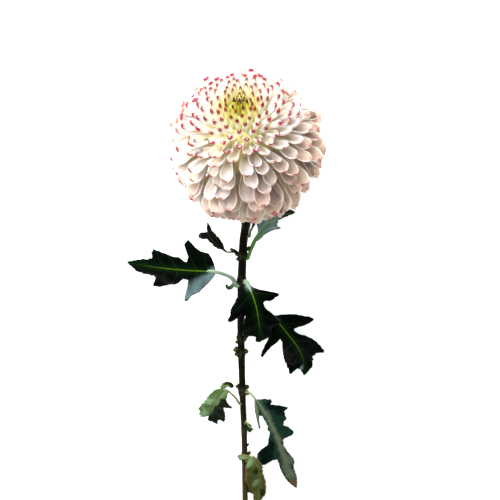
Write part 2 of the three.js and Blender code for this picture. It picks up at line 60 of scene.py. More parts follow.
# Bloom, as in the solids: a ball whose face is turned up toward the viewer
BLOOM_CENTRE = Vector((12, 155, 48))
BLOOM_AXIS = Vector((-0.075, 0.906, 0.423)).normalized()
BLOOM_ACROSS = UP.cross(BLOOM_AXIS).normalized()
BLOOM_CROWN = BLOOM_AXIS.cross(BLOOM_ACROSS)
BALL_RADIUS = 50.0
GOLDEN_ANGLE = 137.508
FIRST_FLORET = 8.0
LAST_FLORET = 150.0
CORE_RADIUS = 27.0
CORE_UNDERSIDE = [(92, 27), (118, 24), (138, 22)]  # reach of the roots, by angle
ROOT_PLACES = [(25, 25), (115, 85), (128, 106), (149, 134)]
CORE_FORWARD = 4.0
ROOT_SUNK = 2.0
FLORET_HANDLE = 10.0  # from each end of a floret to the bend of its curve
FLORET_THICKNESS = 0.42
QUILL_CURL = 290.0
SPOONS_FROM = 36.0
SPOONS_TO = 62.0
BLUNT_TIP = 0.8
PRESS_FLAT = 1.5
PRESS_TOP = 6.0
TABLE_CLEARANCE = 0.35
PAINTED_SIDE_SHADE = 0.2  # painted shade: florets on the viewer's right take the darker, pinker colours of older florets, and those on the left a little younger, lighter ones as painted light
LIT_SIDE_SHARE = 0.35

# Each against the angle from the middle of the face: reach of the floret tips from the middle of the ball,
# spacing between florets, a floret's flat width, how far its tip curls round when seen on end, and how far it
# leans back
TIP_REACH = [(0, 44.0), (12, 44.3), (30, 45.2), (53, 46.0), (75, 47.2), (95, 47.8), (127, 47.0), (150, 46.5)]
SPACING = [(8, 5.2), (20, 7.0), (40, 8.6), (60, 10.2), (80, 11.4), (110, 11.4), (150, 12.0)]
FLAT_WIDTH = [(8, 5.8), (20, 8.4), (32, 10.4), (45, 11.8), (60, 13.0), (90, 14.4), (115, 14.8), (150, 14.0)]
TIP_CURL = [(8, 300), (34, 290), (46, 275), (60, 250), (80, 215), (100, 150), (115, 100), (150, 80)]
LEAN = [(0, -4), (20, 0), (32, 5), (60, 20), (90, 32), (115, 38), (142, 38), (180, 0)]

# Knot in the middle of the face
HEART_FLORETS = 13
HEART_SPREAD = 5.4
HEART_REACH = 43.2
HEART_ROOT = 30.0
HEART_THICKNESS = 0.3

# Cup behind the bloom
CUP_FOOT = 4.0
CUP_FLARE = 9.2
CUP_HEIGHT = 8.6
CUP_THICKNESS = 0.4
BRACT_RINGS = 3
BRACTS_IN_RING = 11
BRACT_WIDTH = 5.2
BRACT_BOW = 0.6
BRACT_LINE = [(4.2, -26.6), (8, -25.6), (11.2, -24.2), (13.2, -21.6)]  # reach and height from root to tip
BRACT_SHIFT = [(1.6, 1.2), (1, 1.2), (0.8, 1.6), (0.7, 1.3)]  # from each ring to the next

# Stem and leaves, on the lines that the solids follow
CUP_FLOOR = -27.6
STEM_LINE = [
    (12.5, 92.7, 29), (10.7, 76.6, 24.5), (10, 62.3, 21), (9.2, 37.7, 17), (8.7, 14.7, 14.5),
    (8.6, -10.4, 12.5), (9.5, -60.5, 9.5), (10.6, -97.3, 8), (10.9, -125.4, 6.8), (11.2, -169, 4.8),
    (11.4, -199, 2.6),
]
TOP_RADIUS = 2.75
FOOT_RADIUS = 2.1
# Nodes of the stem: place, swelling and half length
STEM_NODES = [
    (92, 0.5, 2.4), (64, 0.7, 2.6), (40, 0.7, 4.0), (-10, 0.7, 2.2), (-24, 0.6, 2.8), (-57, 1.3, 1.6),
    (-61, 0.9, 2.4), (-98, 0.4, 2.4), (-124, 0.9, 3.0),
]
# Stubs of pinched buds and lost leaves: place, angle round the stem, length and thickness
STUBS = [
    (68, 165, 3.0, 1.3), (-9, 176, 2.6, 1.7), (-12, 150, 1.8, 1.4), (-15, 12, 1.4, 1.4), (-22, 10, 2.2, 2.3),
    (-26, 20, 1.8, 2.0), (-24, 172, 1.6, 2.2), (-56, 12, 1.2, 1.8), (-57, 168, 1.4, 1.6),
    (-122, 170, 2.4, 1.2), (41, 120, 1.8, 1.7), (22, 95, 1.6, 1.0), (59, 25, 1.6, 1.4), (-46, 250, 1.6, 1.0),
    (-113, 172, 1.6, 1.0),
]
STUB_SUNK = 1.2
STALK_SUNK = 1.4
STEM_CLEARANCE = 0.03
STALK_CLEARANCE = 0.1
LEAF_THICKNESS = 0.45
LEAF_REST = 0.45
LEAF_REST_BEND = 2.4
VEIN_GROOVE = 0.35
TOOTH_LENGTH = 5.4
TOOTH_DEPTH = 2.0

# foot: place on the stem. stalk: where the leaf stalk bends. rib: a cubic curve from base to tip. up: where
# its upper face looks, straight up unless given. sweep: the angle between rib and side veins, at base and tip.
# roll: how far each half hangs. left and right: place along the rib and length of the side vein there.
# veins: places where a side vein leaves the rib. patches: place along the rib, distance beside it, radius,
# and how pale or, below 0, how dark. thick: half the thickness of the stalk at the stem and under the blade.
# back: the finish of its lower face, the same as the upper one unless given.
LEAVES = [
    dict(
        name="leaf_left", foot=38, stalk=(1.8, 45.8, 22),
        rib=[(-8.4, 52.4, 26), (-32.2, 53.8, 25.9), (-50.8, 44.6, 8.3), (-72.5, 47.2, 1.2)],
        sweep=(75, 30), roll=-12, veins=[0.07, 0.19, 0.4, 0.53, 0.74],
        left=[(0, 1.6), (0.015, 6), (0.05, 13.5), (0.105, 21), (0.16, 26), (0.205, 31.5), (0.228, 24),
              (0.242, 10.5), (0.3, 9.2), (0.365, 16), (0.435, 19.2), (0.515, 23.5), (0.56, 25),
              (0.59, 13.5), (0.62, 11), (0.71, 12), (0.785, 11), (0.895, 5.5), (1, 0.3)],
        right=[(0, 2), (0.01, 9.8), (0.03, 13.4), (0.085, 15.3), (0.12, 19.2), (0.15, 23.2), (0.188, 20.5),
               (0.21, 10.5), (0.265, 7), (0.325, 11), (0.36, 11), (0.405, 13), (0.475, 16), (0.515, 16.8),
               (0.555, 15), (0.585, 11), (0.62, 9), (0.795, 6), (1, 0.3)],
        # The first three pale patches, on the lower lobe, are painted sheen.
        patches=[(0.2, -26, 11, 0.7), (0.12, -16, 9, 0.6), (0.06, -8, 7, 0.6), (0.01, -5, 4.5, 0.9),
                 (0.01, 2, 3, 0.6)],
        stem_look="leaf_stalk", thick=(1.7, 1.4),
        face="leaf_dark", back="leaf_underside",
    ),
    dict(
        name="leaf_front", foot=42, stalk=(12.4, 43.5, 23),
        rib=[(13.1, 43.6, 26), (22.4, 31.4, 38.9), (20.6, 9.9, 28.3), (23.8, -4.8, 24)],
        sweep=(70, 30), roll=-5, veins=[0.14, 0.46, 0.66],
        left=[(0, 1), (0.055, 2.4), (0.09, 4.8), (0.108, 11), (0.132, 19.2), (0.17, 15.5), (0.205, 12.5),
              (0.225, 8), (0.27, 6.2), (0.33, 7.6), (0.38, 13), (0.48, 18), (0.6, 12), (0.77, 11),
              (0.88, 6), (1, 0.3)],
        right=[(0, 2), (0.012, 9), (0.03, 15), (0.065, 21.5), (0.12, 22.4), (0.17, 26.5), (0.215, 25),
               (0.245, 22), (0.275, 15), (0.34, 11.5), (0.44, 13.5), (0.56, 16.5), (0.66, 18), (0.7, 14),
               (0.74, 10), (0.81, 6.8), (0.885, 7.2), (1, 0.3)],
        patches=[(0.01, 0, 3.4, 0.7), (0.08, 0, 3.5, 0.35), (0.9, -4, 5, 0.25)],
        stem_look="leaf_stalk", thick=(1.5, 1.7),
        face="leaf_dark", back="leaf_underside",
    ),
    dict(
        name="leaf_right", foot=-9, stalk=(20, 2, 15.5),
        rib=[(32.4, 11.2, 17), (45.7, -8.2, 21.7), (57.4, -26.9, 3.3), (56.1, -50.8, 1.2)],
        sweep=(70, 30), roll=-8, veins=[0.13, 0.17, 0.42, 0.57, 0.74],
        left=[(0, 3), (0.02, 11), (0.06, 18.5), (0.13, 24), (0.17, 17), (0.2, 7.4), (0.25, 6.4),
              (0.35, 12.8), (0.49, 18.6), (0.57, 21.4), (0.6, 12.6), (0.65, 10.4), (0.76, 9.8), (0.88, 5.4),
              (1, 0.3)],
        right=[(0, 2), (0.06, 7.5), (0.12, 17), (0.18, 32), (0.2, 20), (0.23, 8), (0.27, 8.6), (0.36, 13.5),
               (0.57, 20.4), (0.76, 19.8), (0.79, 9.2), (0.86, 5.4), (1, 0.3)],
        patches=[(0.85, 4, 3.5, 0.9), (0.05, 0, 5, 0.35)], stem_look="stalk_dark", thick=(0.9, 0.8),
        face="leaf_dark", back="leaf_underside",
    ),
    dict(
        name="leaf_upper_right", foot=61, stalk=(15.4, 67.5, 23.2),
        rib=[(18.2, 76, 25.6), (23, 88, 30), (33, 100, 32), (45.3, 99.3, 27)],
        up=(0, 0, -1), sweep=(60, 35), roll=5, veins=[0.28, 0.5, 0.7],
        left=[(0, 2.4), (0.07, 3.5), (0.19, 5), (0.295, 8.2), (0.335, 11.2), (0.375, 8), (0.445, 6),
              (0.615, 3), (0.74, 3.5), (0.88, 3), (1, 0.3)],
        right=[(0, 1.4), (0.05, 1.6), (0.16, 1.6), (0.21, 3.6), (0.245, 8.2), (0.3, 11), (0.4, 8),
               (0.5, 7), (0.7, 5), (0.86, 3), (1, 0.3)],
        patches=[(0.72, -3, 3, -1), (0.84, -2, 5, -1), (0.97, 0, 6, -1), (0.35, -7, 4, 0.8),
                 (0.42, 3, 4, 0.5), (0.3, 6, 3, -0.3)],
        stem_look="stalk_fresh", thick=(0.9, 1.6),
        face="leaf_dark", back="leaf_underside",
    ),
    dict(
        name="leaf_upper_left", foot=63, stalk=(4.6, 65.5, 21.5),
        rib=[(-0.9, 67.1, 24), (-8, 75.4, 27.8), (-13.5, 84.1, 34.8), (-12.8, 95.7, 36)],
        up=(0.5, 0.6, 0.6), sweep=(60, 30), roll=0, veins=[0.3, 0.6],
        left=[(0, 0.8), (0.1, 1), (0.24, 3.4), (0.46, 5.2), (0.58, 7), (0.62, 13.5), (0.655, 16.2),
              (0.7, 13), (0.735, 3.4), (0.83, 2.8), (1, 0.3)],
        right=[(0, 0.8), (0.08, 1.2), (0.13, 3.4), (0.275, 6.2), (0.5, 5.4), (0.72, 4), (0.945, 1), (1, 0.3)],
        patches=[(0.45, 0, 7, 0.25), (0.64, -15, 2, 0.8)], thick=(0.8, 0.7),
        face="leaf_dry",
    ),
    dict(
        name="bract_top", foot=82, stalk=(15.6, 86.5, 29.5),
        rib=[(16.6, 89.1, 31.4), (18.6, 96, 34), (21, 102, 35.5), (22.6, 106.5, 35.5)],
        up=(0.4, -0.4, 0.8), sweep=(40, 20), roll=0, veins=[0.5],
        left=[(0, 1.2), (0.35, 3.4), (0.7, 2.2), (1, 0.3)],
        right=[(0, 1.2), (0.35, 3.2), (0.7, 2), (1, 0.3)],
        patches=[(0.5, 2, 2, 0.3)],
        face="leaf_dark",
    ),
    dict(
        name="leaf_lower_left", foot=-70, stalk=(3.4, -60.5, 15.5),
        rib=[(-2.7, -52, 19), (-12.6, -65.4, 17.9), (-14.1, -78.9, 5.4), (-14.3, -93.5, 1.6)],
        sweep=(75, 30), roll=-5, veins=[0.27, 0.5, 0.74],
        left=[(0, 3), (0.1, 5), (0.18, 8), (0.27, 16), (0.34, 9), (0.45, 10), (0.58, 14), (0.76, 15.6),
              (0.82, 8), (0.9, 7.9), (1, 0.3)],
        right=[(0, 3), (0.04, 6.4), (0.12, 7.5), (0.37, 9.5), (0.55, 13), (0.72, 13), (0.78, 4), (0.86, 5),
               (1, 0.3)],
        patches=[(0.72, 9, 7, 1), (0.35, 4, 8, 0.8), (0.3, -11, 8, -1.6), (0.5, -9, 7, -1.6),
                 (0.66, -9, 8, -1.6), (0.85, -4, 7, -1.4), (0.5, 3, 3, -0.6), (0.84, 4, 4, -0.9),
                 (0.2, -4, 3, -0.6)],
        stem_look="stalk_soft", thick=(0.9, 0.8),
        face="leaf_wilted",
    ),
    dict(
        name="leaf_lower_right", foot=-59, stalk=(15.4, -58.4, 14.5),
        rib=[(19.7, -61.8, 18), (39.2, -91.9, 20.5), (39.5, -127.4, 4.6), (52.6, -159.9, 1.2)],
        sweep=(75, 30), roll=-12, veins=[0.12, 0.24, 0.33, 0.5, 0.66],
        left=[(0, 1.6), (0.02, 7), (0.045, 10), (0.066, 6.8), (0.088, 12), (0.12, 18), (0.152, 14),
              (0.195, 14), (0.235, 10.5), (0.265, 9.5), (0.29, 13), (0.34, 15.5), (0.38, 9), (0.41, 5),
              (0.485, 3.8), (0.565, 6), (0.65, 9.5), (0.725, 7), (0.815, 7), (0.91, 4.5), (1, 0.3)],
        right=[(0, 1.6), (0.03, 4), (0.08, 6.8), (0.115, 6), (0.14, 3.4), (0.245, 3.6), (0.27, 4.8),
               (0.31, 4.4), (0.37, 8.8), (0.412, 11), (0.442, 24), (0.505, 27.8), (0.548, 26), (0.58, 12),
               (0.62, 8), (0.72, 9), (0.81, 8.5), (0.92, 4.5), (1, 0.3)],
        patches=[(0.06, 2, 4, 0.5), (0.2, 0, 3, 0.6), (0.3, 0, 3.4, 0.8), (0.4, 0, 4, 1), (0.5, -1, 5, 0.8),
                 (0.6, -1, 6, 0.6), (0.72, 3, 6, 0.6), (0.82, 3, 6, 0.5), (0.5, 17, 10, -1), (0.42, 8, 5, -1),
                 (0.12, -11, 8, -0.7), (0.06, -7, 3, -0.8), (0.3, -11, 5, -0.2), (0.65, -5, 6, 0.8),
                 (0.82, -3, 7, 0.8)],
        stem_look="stalk_soft", thick=(0.8, 0.75),
        face="leaf_browned", back="leaf_wilted",
    ),
    dict(
        name="leaf_base", foot=-126, stalk=(13.6, -121.6, 11.2),
        rib=[(16, -119.5, 13), (27, -131, 16.5), (20.6, -155, 2), (20.9, -174.5, 1.5)],
        sweep=(75, 30), roll=-3, veins=[0.2, 0.5, 0.74],
        left=[(0, 2), (0.08, 3.4), (0.185, 4), (0.335, 3.4), (0.535, 7), (0.75, 9.8), (0.8, 8),
              (0.875, 5.8), (1, 0.3)],
        right=[(0, 2), (0.03, 9), (0.195, 12), (0.42, 13.6), (0.6, 13.5), (0.68, 12.5), (0.74, 8), (0.81, 5),
               (0.935, 5), (1, 0.3)],
        patches=[(0.56, 3, 4.2, 1.4), (0.74, -8, 5, -1.4), (0.3, 2, 5, -0.7), (0.5, 9, 4, -0.4),
                 (0.05, 4, 6, 0.8)],
        stem_look="stalk_soft", thick=(1.0, 1.0),
        face="leaf_olive",
    ),
]

# Leaflets in the axils and small curled lobes, each kept with the leaf named as its parent. Their foot only
# makes their ripples differ.
LEAFLETS = [
    dict(
        name="lobe_lower_left", parent="leaf_lower_left", foot=3,
        rib=[(-4.4, -51, 19.5), (-4.6, -45.5, 22), (-0.4, -43.8, 23), (2.2, -48.6, 21)],
        sweep=(80, 50), roll=-20, veins=[0.5],
        left=[(0, 2.4), (0.3, 2.8), (0.6, 3), (0.85, 2.4), (1, 0.3)],
        right=[(0, 1.6), (0.3, 2.2), (0.6, 1.6), (0.85, 1.8), (1, 0.3)],
        patches=[(0.1, 2, 2.6, 0.9), (0.55, -1, 4, -1), (0.9, 0, 3, -1)],
        face="leaf_wilted",
    ),
    dict(
        name="leaflet_low", parent="leaf_lower_right", foot=5,
        rib=[(11.8, -87, 10.5), (14, -89.6, 12), (15.4, -92.6, 12), (15.8, -97.4, 10.5)],
        up=(0.2, 0, 1), sweep=(70, 35), roll=-15, veins=[0.4],
        left=[(0, 0.6), (0.2, 1), (0.42, 3), (0.5, 1.6), (0.7, 3.4), (0.8, 1.6), (1, 0.3)],
        right=[(0, 2), (0.2, 3), (0.5, 3.4), (0.8, 2.6), (1, 0.3)],
        patches=[(0.3, 1, 3, -1), (0.8, 0, 3, -0.8), (0.5, -2, 1.4, 0.5)],
        face="leaf_wilted",
    ),
    dict(
        name="stipule_left", parent="leaf_left", foot=7,
        rib=[(4.8, 41.6, 20.5), (2.6, 36.6, 21.5), (-0.4, 34.8, 21.5), (-1.6, 39.4, 21)],
        sweep=(70, 35), roll=-15, veins=[0.4],
        left=[(0, 1), (0.2, 1.4), (0.5, 1.6), (0.8, 1.2), (1, 0.3)],
        right=[(0, 1), (0.2, 1.8), (0.5, 2.2), (0.8, 1.6), (1, 0.3)],
        patches=[(0.15, 0, 2.4, 0.9)],
        face="leaf_dark",
    ),
    dict(
        name="collar_base", parent="leaf_base", foot=9,
        rib=[(18.6, -121.6, 13.2), (13.6, -119.2, 13), (8.6, -118.4, 12), (5.4, -122, 9.6)],
        sweep=(80, 50), roll=-6, veins=[0.4],
        left=[(0, 3), (0.3, 3.6), (0.6, 4.8), (0.8, 5), (0.92, 3.4), (1, 0.3)],
        right=[(0, 1.4), (0.3, 1.6), (0.6, 1.8), (0.8, 1.4), (1, 0.3)],
        patches=[(0.5, 0, 5, 0.7), (0.9, 0, 4, 1)],
        face="leaf_olive",
    ),
    dict(
        name="prong_lower_right", parent="leaf_lower_right", foot=13,
        rib=[(18.9, -61.1, 19.0), (19.4, -69.5, 20.0), (21.2, -78.8, 20.0), (22.5, -87.6, 19.0)],
        sweep=(60, 30), roll=-10, veins=[0.4],
        left=[(0, 1), (0.3, 2.6), (0.5, 2.4), (0.62, 1.6), (0.85, 1.3), (0.94, 1.6), (1, 0.3)],
        right=[(0, 0.6), (0.5, 1.3), (0.85, 1.2), (0.94, 1.5), (1, 0.3)],
        patches=[(0.3, 0, 6, 0.6), (0.8, 0, 4, 0.3)],
        face="leaf_browned",
    ),
    dict(
        name="stipule_node", parent="leaf_lower_right", foot=11,
        rib=[(10.2, -56.4, 11.5), (12.2, -57.4, 12.8), (13.6, -59.4, 12.6), (13.4, -62.6, 11)],
        sweep=(80, 50), roll=-20, veins=[0.4],
        left=[(0, 1), (0.3, 1.6), (0.6, 1.8), (0.8, 1.4), (1, 0.3)],
        right=[(0, 1), (0.3, 2.4), (0.6, 2.6), (0.8, 1.6), (1, 0.3)],
        patches=[],
        face="leaf_olive",
    ),
]

# Camera: where it stands, its tilt from straight down and its focal length
CAMERA_PLACE = Vector((15.2, 426.2, 696.6))
CAMERA_TILT = 28.0
CAMERA_LENS = 79.6

# Light: share of the white surroundings, and power of the soft lamps in watts
WORLD_SHARE = 0.38
KEY_POWER = 52.0
OVERHEAD_POWER = 9.0


def clamp(value, low=0.0, high=1.0):
    return max(low, min(high, value))


def lerp(a, b, share):
    return a + (b - a) * share


def smooth(low, high, value):
    share = clamp((value - low) / (high - low))
    return share * share * (3 - 2 * share)


def value_at(table, place):
    """Value of a list of (place, value), straight between its entries."""
    for (x0, y0), (x1, y1) in zip(table, table[1:]):
        if place <= x1:
            return lerp(y0, y1, clamp((place - x0) / (x1 - x0)))
    return table[-1][1]


def eased_at(table, place):
    """Value of a list of (place, value), in curves that are level at its peaks and dips."""
    last = len(table) - 1
    k = 0
    while k < last - 1 and place > table[k + 1][0]:
        k += 1
    slopes = [(b[1] - a[1]) / (b[0] - a[0]) for a, b in zip(table, table[1:])]

    def bend(i):
        if i in (0, last):
            return slopes[0] if i == 0 else slopes[-1]
        before, after = slopes[i - 1], slopes[i]
        return 0 if before * after <= 0 else 2 * before * after / (before + after)

    width = table[k + 1][0] - table[k][0]
    s = clamp((place - table[k][0]) / width)
    first = (1 + 2 * s) * (1 - s) ** 2 * table[k][1] + s * (1 - s) ** 2 * width * bend(k)
    return first + s * s * (3 - 2 * s) * table[k + 1][1] + s * s * (s - 1) * width * bend(k + 1)


def cubic(points, share):
    a, b, c, d = points
    r = 1 - share
    return a * r ** 3 + b * (3 * r * r * share) + c * (3 * r * share * share) + d * share ** 3


def cubic_heading(points, share):
    a, b, c, d = points
    r = 1 - share
    return ((b - a) * (r * r) + (c - b) * (2 * r * share) + (d - c) * (share * share)).normalized()


def settle(height, floor, blend):
    """What would hang below the table bends up and lies on it."""
    top = floor + blend
    return height if height > top else floor + blend * math.exp((height - top) / blend)


class Line:
    """A smooth line through points, measured along its length, as the solids' stem and stalks."""

    def __init__(self, points):
        ends = [points[0] * 2 - points[1]] + points + [points[-1] * 2 - points[-2]]
        self.dots = []
        for a, b, c, d in zip(ends, ends[1:], ends[2:], ends[3:]):
            for k in range(40):
                t = k / 40
                self.dots.append(0.5 * (2 * b + (c - a) * t + (2 * a - 5 * b + 4 * c - d) * t * t
                                        + (3 * b - a - 3 * c + d) * t ** 3))
        self.dots.append(points[-1])
        self.lengths = [0.0]
        for p, q in zip(self.dots, self.dots[1:]):
            self.lengths.append(self.lengths[-1] + (q - p).length)

    def point(self, share):
        goal = clamp(share) * self.lengths[-1]
        low, high = 0, len(self.dots) - 1
        while high - low > 1:
            middle = (low + high) // 2
            if self.lengths[middle] <= goal:
                low = middle
            else:
                high = middle
        span = self.lengths[high] - self.lengths[low]
        return self.dots[low].lerp(self.dots[high], (goal - self.lengths[low]) / span)

    def heading(self, share):
        step = 0.004
        return (self.point(share + step) - self.point(share - step)).normalized()

    def place_of(self, y):
        low, high = 0.0, 1.0
        while high - low > 1e-4:
            middle = (low + high) / 2
            if self.point(middle).y > y:
                low = middle
            else:
                high = middle
        return low


# Materials


class Finish:
    """A procedural material whose nodes are added by short calls."""

    def __init__(self, name):
        self.material = bpy.data.materials.new(name)
        self.material.use_nodes = True
        self.nodes = self.material.node_tree.nodes
        self.links = self.material.node_tree.links
        self.shader = self.nodes["Principled BSDF"]

    def feed(self, socket, value):
        if isinstance(value, bpy.types.NodeSocket):
            self.links.new(value, socket)
        else:
            socket.default_value = value

    def attribute(self, name):
        node = self.nodes.new("ShaderNodeAttribute")
        node.attribute_name = name
        return node.outputs["Fac"]

    def uv(self):
        node = self.nodes.new("ShaderNodeUVMap")
        node.uv_map = "weave"
        split = self.nodes.new("ShaderNodeSeparateXYZ")
        self.links.new(node.outputs["UV"], split.inputs[0])
        return node.outputs["UV"], split.outputs["X"], split.outputs["Y"]

    def place(self):
        return self.nodes.new("ShaderNodeTexCoord").outputs["Object"]

    def math(self, operation, a, b=0.0):
        node = self.nodes.new("ShaderNodeMath")
        node.operation = operation
        self.feed(node.inputs[0], a)
        self.feed(node.inputs[1], b)
        return node.outputs[0]

    def times(self, a, b):
        return self.math("MULTIPLY", a, b)

    def plus(self, a, b):
        return self.math("ADD", a, b)

    def minus(self, a, b):
        return self.math("SUBTRACT", a, b)

    def step(self, value, low, high, start=0.0, end=1.0):
        node = self.nodes.new("ShaderNodeMapRange")
        node.interpolation_type = "SMOOTHSTEP"
        for socket, number in zip(node.inputs, (value, low, high, start, end)):
            self.feed(socket, number)
        return node.outputs["Result"]

    def mix(self, share, a, b):
        node = self.nodes.new("ShaderNodeMix")
        node.data_type = "RGBA"
        self.feed(node.inputs["Factor"], share)
        self.feed(node.inputs["A"], a)
        self.feed(node.inputs["B"], b)
        return node.outputs["Result"]

    def scaled(self, vector, size):
        node = self.nodes.new("ShaderNodeMapping")
        node.inputs["Scale"].default_value = size
        self.links.new(vector, node.inputs["Vector"])
        return node.outputs["Vector"]

    def noise(self, vector, scale, detail=3.0):
        node = self.nodes.new("ShaderNodeTexNoise")
        node.inputs["Scale"].default_value = scale
        node.inputs["Detail"].default_value = detail
        self.links.new(vector, node.inputs["Vector"])
        return node.outputs["Fac"]

    def bump(self, height, strength, distance):
        node = self.nodes.new("ShaderNodeBump")
        node.inputs["Strength"].default_value = strength
        node.inputs["Distance"].default_value = distance
        self.links.new(height, node.inputs["Height"])
        self.links.new(node.outputs["Normal"], self.shader.inputs["Normal"])

    def colour(self, value):
        self.feed(self.shader.inputs["Base Color"], value)

    def set(self, **numbers):
        for name, value in numbers.items():
            self.shader.inputs[name.replace("_", " ")].default_value = value


def linear(level):
    """A level from 0 to 255 as the eye sees it, in the renderer's linear terms."""
    return level / 255 / 12.92 if level <= 10 else ((level / 255 + 0.055) / 1.055) ** 2.4


def rgb(red, green, blue):
    return linear(red), linear(green), linear(blue), 1.0


def petal_finish(name, back):
    """Floret skin: white at the tip, cream and then yellow toward the root, crimson at the very tip."""
    finish = Finish(name)
    uv, across, along = finish.uv()
    age_and_shade = finish.attribute("age_and_shade")
    tint = finish.attribute("tint")
    young = finish.mix(finish.step(along, 0.2, 0.7), rgb(255, 251, 210), rgb(255, 252, 246))
    # The face is given darker colours than the back: partly the florets' real cream and yellow, partly painted
    # shade inside their curl.
    if back:
        grown = finish.mix(finish.step(along, 0.2, 0.7), rgb(240, 226, 196), rgb(250, 242, 240))
        old_and_shaded = finish.mix(finish.step(along, 0.3, 0.8), rgb(184, 152, 132), rgb(208, 178, 166))
    else:
        grown = finish.mix(finish.step(along, 0.2, 0.85), rgb(226, 208, 164), rgb(240, 227, 216))
        old_and_shaded = finish.mix(finish.step(along, 0.3, 0.8), rgb(166, 134, 114), rgb(190, 158, 144))
    skin = finish.mix(finish.step(age_and_shade, 0.2, 0.4), young, grown)
    # The old colours, taken by the lower and outer florets and by those on the viewer's right, are partly a
    # real pinker tint with age and partly painted shade on the bloom's lower side.
    skin = finish.mix(finish.step(age_and_shade, 0.42, 0.72), skin, old_and_shaded)
    skin = finish.mix(finish.step(age_and_shade, 0.2, 0.07, 0.0, 0.85), skin, rgb(250, 250, 104))
    skin = finish.mix(finish.step(age_and_shade, 0.1, 0.04, 0.0, 0.8), skin, rgb(226, 228, 30))
    side = finish.minus(across, 0.5)
    rim = finish.math("ABSOLUTE", finish.times(side, 2.0))
    # Painted highlight: the rolled rims of every floret are whitened.
    skin = finish.mix(finish.step(rim, 0.72, 0.95, 0.0, 0.55), skin, rgb(255, 248, 238))
    mottle = finish.noise(finish.scaled(uv, (2.0, 7.0, 1.0)), 5.0)
    shift = finish.times(finish.minus(mottle, 0.5), 0.06)
    from_tip = finish.plus(finish.minus(1.0, along), shift)
    grown_up = finish.step(age_and_shade, 0.34, 0.54)
    lopsided = finish.times(finish.minus(tint, 0.5), finish.times(grown_up, 0.9))
    narrow = finish.plus(0.9, finish.times(grown_up, 1.4))
    short = finish.plus(3.4 if back else 4.6, finish.times(grown_up, 2.8))
    dx = finish.times(finish.minus(side, lopsided), narrow)
    dy = finish.times(from_tip, short)
    far = finish.math("SQRT", finish.plus(finish.times(dx, dx), finish.times(dy, dy)))
    halo = finish.mix(finish.step(age_and_shade, 0.26, 0.12), rgb(206, 104, 128), rgb(206, 128, 60))
    skin = finish.mix(finish.step(far, 1.7, 0.7, 0.0, 0.36), skin, halo)
    crimson = finish.mix(finish.step(age_and_shade, 0.34, 0.12), rgb(100, 2, 38), rgb(98, 6, 12))
    crimson = finish.mix(finish.step(age_and_shade, 0.1, 0.05), crimson, rgb(38, 6, 2))
    depth = finish.math("MAXIMUM", finish.step(tint, 0.1, 0.7, 0.4), finish.minus(1.0, grown_up))
    finish.colour(finish.mix(finish.times(finish.step(far, 1.0, 0.5), depth), skin, crimson))
    veins = finish.noise(finish.scaled(uv, (26.0, 1.2, 1.0)), 2.0, 2.0)
    finish.bump(veins, 0.3, 0.0003)
    finish.set(Roughness=0.45, Subsurface_Weight=1.0, Subsurface_Scale=0.0042, Specular_IOR_Level=0.3)
    finish.shader.inputs["Subsurface Radius"].default_value = (1.0, 0.9, 0.65)
    return finish.material


def core_finish():
    finish = Finish("floret_roots")
    patch = finish.noise(finish.place(), 260.0)
    finish.colour(finish.mix(patch, rgb(240, 232, 140), rgb(252, 246, 190)))
    finish.set(Roughness=0.7)
    return finish.material


def leaf_finish(name, deep, fresh, vein, pale, dark, brown=0.0, side_veins=0.1, blotch=0.9, glow=6.5,
                edge=None):
    """Leaf skin: deep at the margin, fresher along the rib, with patches and faint side veins."""
    finish = Finish(name)
    across, along = finish.uv()[1:]
    rib = finish.attribute("rib")
    side = finish.attribute("side_vein")
    shade = finish.attribute("shade")
    spot = finish.noise(finish.place(), 190.0, 5.0)
    fine = finish.noise(finish.place(), 1100.0, 4.0)
    mottle = finish.times(finish.minus(spot, 0.5), blotch)
    patch = finish.plus(shade, mottle)
    from_rib = finish.plus(rib, finish.times(mottle, 9.0))
    skin = finish.mix(finish.step(from_rib, glow, 0.5), deep, fresh)
    skin = finish.mix(finish.step(fine, 0.5, 0.8, 0.0, 0.3), skin, fresh)
    skin = finish.mix(finish.step(patch, 0.15, 0.9, 0.0, 0.92), skin, pale)
    skin = finish.mix(finish.step(patch, -0.2, -0.75, 0.0, 0.95), skin, dark)
    if edge:
        rim = finish.math("ABSOLUTE", finish.times(finish.minus(across, 0.5), 2.0))
        dry = finish.plus(rim, finish.times(mottle, 0.5))
        skin = finish.mix(finish.step(dry, 0.74, 0.96, 0.0, 0.8), skin, edge)
    if brown:
        burnt = finish.plus(along, finish.times(mottle, 0.14))
        skin = finish.mix(finish.step(burnt, 0.82, 0.93, 0.0, brown), skin, rgb(104, 76, 48))
    side_share = finish.times(finish.step(side, 0.6, 0.1, 0.0, side_veins), finish.step(along, 1.0, 0.35))
    skin = finish.mix(side_share, skin, vein)
    rib_share = finish.times(finish.step(rib, 0.8, 0.2), finish.step(along, 1.0, 0.4))
    skin = finish.mix(rib_share, skin, vein)
    finish.colour(skin)
    net = finish.nodes.new("ShaderNodeTexVoronoi")
    net.feature = "DISTANCE_TO_EDGE"
    net.inputs["Scale"].default_value = 620.0
    finish.links.new(finish.place(), net.inputs["Vector"])
    groove = finish.math("MINIMUM", net.outputs["Distance"], 0.22)
    finish.bump(finish.plus(groove, finish.times(spot, 0.8)), 0.5, 0.0004)
    finish.set(Roughness=0.5, Specular_IOR_Level=0.02)
    return finish.material


